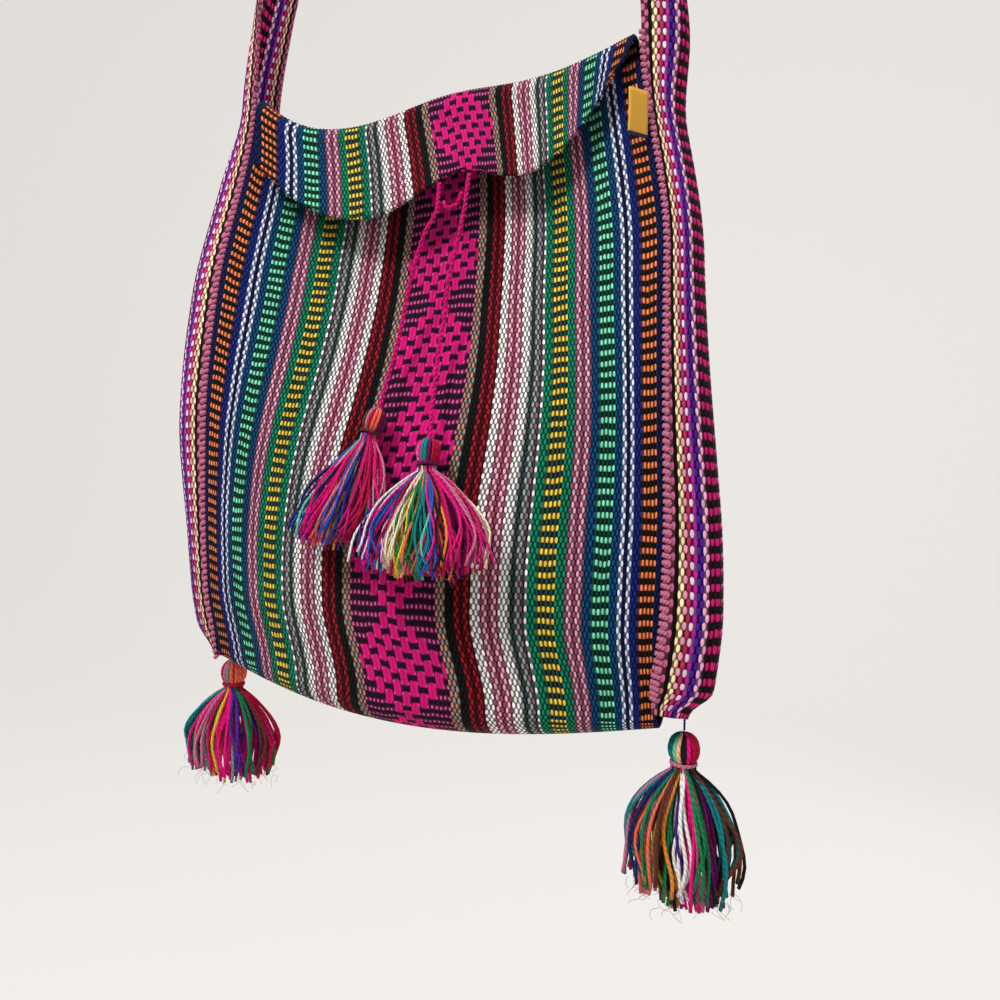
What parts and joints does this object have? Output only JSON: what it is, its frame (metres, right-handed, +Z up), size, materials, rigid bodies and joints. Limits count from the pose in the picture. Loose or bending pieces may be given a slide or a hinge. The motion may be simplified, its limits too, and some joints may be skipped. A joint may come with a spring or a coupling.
{
  "type": "woven shoulder bag",
  "caption": "Flat hand-woven shoulder bag: one striped cloth folded into front, back and short flap, a woven band as gussets and strap, a tie cord and tassels.",
  "frame": {"origin": "inside of the strap's top bend, in the middle of its width, where the bag hangs", "axes": "+Z up along the hanging strap, -Y out of the bag's front, +X to the viewer's right"},
  "size_m": [0.3215, 0.0961, 0.9848],
  "materials": {
    "striped_cloth": "warp-faced weave of matt worsted yarn in many stripes",
    "band_cloth": "warp-faced band of matt worsted yarn in pink and violet stripes",
    "seam_yarn": "dark sewing yarn",
    "yellow_ribbon": "bare woven ribbon",
    "magenta_cord": "two-ply twisted yarn cord",
    "tassel_yarn": "loose fluffy yarn in mixed colours",
    "binding_yarn": "pink yarn wound round the tassel's neck",
    "navy_thread": "thin dark thread"
  },
  "bodies": {
    "bag": {"woven_panel": "striped_cloth", "woven_flap": "striped_cloth", "strap_band": "band_cloth", "front_seam_left": "seam_yarn", "front_seam_right": "seam_yarn", "back_seam_left": "seam_yarn", "back_seam_right": "seam_yarn", "side_label": "yellow_ribbon", "tie_cord_left": "magenta_cord", "tie_cord_right": "magenta_cord", "tie_link": "magenta_cord", "tie_tassel_left_yarn": "tassel_yarn", "tie_tassel_left_binding": "binding_yarn", "tie_tassel_right_yarn": "tassel_yarn", "tie_tassel_right_binding": "binding_yarn"},
    "left_thread": {"corner_tassel_left_hanger": "navy_thread"},
    "left_tassel": {"corner_tassel_left_yarn": "tassel_yarn", "corner_tassel_left_binding": "binding_yarn"},
    "right_thread": {"corner_tassel_right_hanger": "navy_thread"},
    "right_tassel": {"corner_tassel_right_yarn": "tassel_yarn", "corner_tassel_right_binding": "binding_yarn"}
  },
  "joints": [
    {"name": "left_thread_swing", "type": "hinge", "parent": "bag", "child": "left_thread", "pos_m": [-0.12444, -0.00399, -0.8774], "axis": [1, 0, 0], "range_deg": [-35, 35]},
    {"name": "left_tassel_swing", "type": "hinge", "parent": "left_thread", "child": "left_tassel", "pos_m": [-0.12444, -0.00399, -0.8904], "axis": [0, 1, 0], "range_deg": [-30, 30]},
    {"name": "right_thread_swing", "type": "hinge", "parent": "bag", "child": "right_thread", "pos_m": [0.13798, -0.0148, -0.88965], "axis": [1, 0, 0], "range_deg": [-25, 25]},
    {"name": "right_tassel_swing", "type": "hinge", "parent": "right_thread", "child": "right_tassel", "pos_m": [0.13798, -0.0148, -0.89865], "axis": [0, 1, 0], "range_deg": [-25, 25]}
  ]
}
